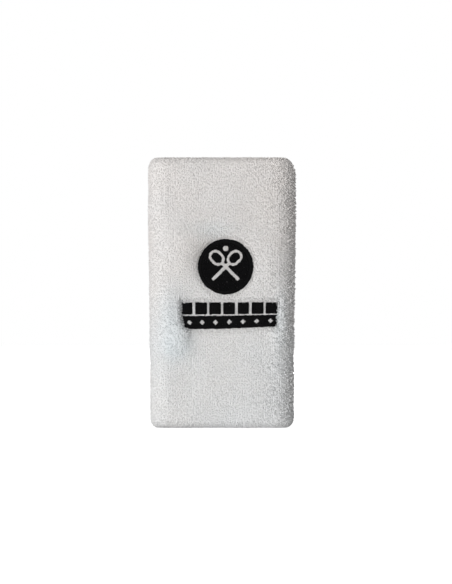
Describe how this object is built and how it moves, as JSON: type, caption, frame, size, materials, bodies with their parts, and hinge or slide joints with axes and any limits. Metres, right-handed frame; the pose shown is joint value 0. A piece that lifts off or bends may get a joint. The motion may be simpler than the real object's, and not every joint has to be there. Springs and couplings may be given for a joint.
{
  "type": "sweat wristband",
  "caption": "Long tubular double-ply terry sweat wristband with black embroidered roundel, block row and bar on the front.",
  "frame": {"origin": "middle of the lower rim, on the surface the band stands on", "axes": "+Z along the band's length towards the upper rim, -Y out of the embroidered front, +X across the width"},
  "size_m": [0.08, 0.022, 0.147],
  "materials": {
    "terry_cotton": "white cotton terry, matt, fine loop pile",
    "elastic_yarn": "covered elastic yarn, off-white, matt",
    "seam_thread": "white spun polyester thread, matt",
    "embroidery_thread": "black rayon embroidery thread, soft sheen",
    "bobbin_thread": "white bobbin thread, matt",
    "backing_cloth": "white non-woven backing, matt, fibrous"
  },
  "bodies": {
    "root": {"outer_ply": "terry_cotton", "upper_turn_in": "terry_cotton", "lower_turn_in": "terry_cotton", "outer_elastic_yarns": "elastic_yarn", "upper_elastic_yarns": "elastic_yarn", "lower_elastic_yarns": "elastic_yarn", "seam_needle_thread": "seam_thread", "seam_looper_thread": "seam_thread", "roundel_border": "embroidery_thread", "roundel_field": "embroidery_thread", "block_row": "embroidery_thread", "bar": "embroidery_thread", "embroidery_backing": "backing_cloth", "bobbin_stitches": "bobbin_thread"}
  },
  "joints": []
}
